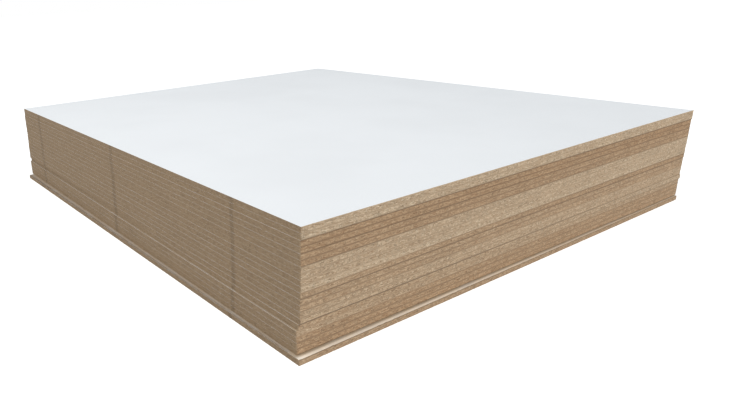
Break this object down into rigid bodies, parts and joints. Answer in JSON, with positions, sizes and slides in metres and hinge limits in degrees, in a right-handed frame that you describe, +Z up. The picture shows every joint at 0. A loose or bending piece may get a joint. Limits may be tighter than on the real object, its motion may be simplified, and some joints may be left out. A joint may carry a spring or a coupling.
{
  "type": "stack of melamine-faced particle boards",
  "caption": "Neat stack of raw-edged particle boards with white melamine faces, lying flat one on another.",
  "frame": {"origin": "centre of the bottom board's underside, on the level that the stack rests on", "axes": "+Z up through the boards, Y along the boards' length, X along their width"},
  "size_m": [1.856, 2.0887, 0.336],
  "materials": {
    "melamine_faced_board": "satin white melamine faces, sawn particle edges"
  },
  "bodies": {
    "root": {"board_01": "melamine_faced_board", "board_02": "melamine_faced_board", "board_03": "melamine_faced_board", "board_04": "melamine_faced_board", "board_05": "melamine_faced_board", "board_06": "melamine_faced_board", "board_07": "melamine_faced_board", "board_08": "melamine_faced_board", "board_09": "melamine_faced_board", "board_10": "melamine_faced_board", "board_11": "melamine_faced_board", "board_12": "melamine_faced_board", "board_13": "melamine_faced_board", "board_14": "melamine_faced_board", "board_15": "melamine_faced_board", "board_16": "melamine_faced_board", "board_17": "melamine_faced_board", "board_18": "melamine_faced_board", "board_19": "melamine_faced_board", "board_20": "melamine_faced_board", "board_21": "melamine_faced_board"}
  },
  "joints": []
}
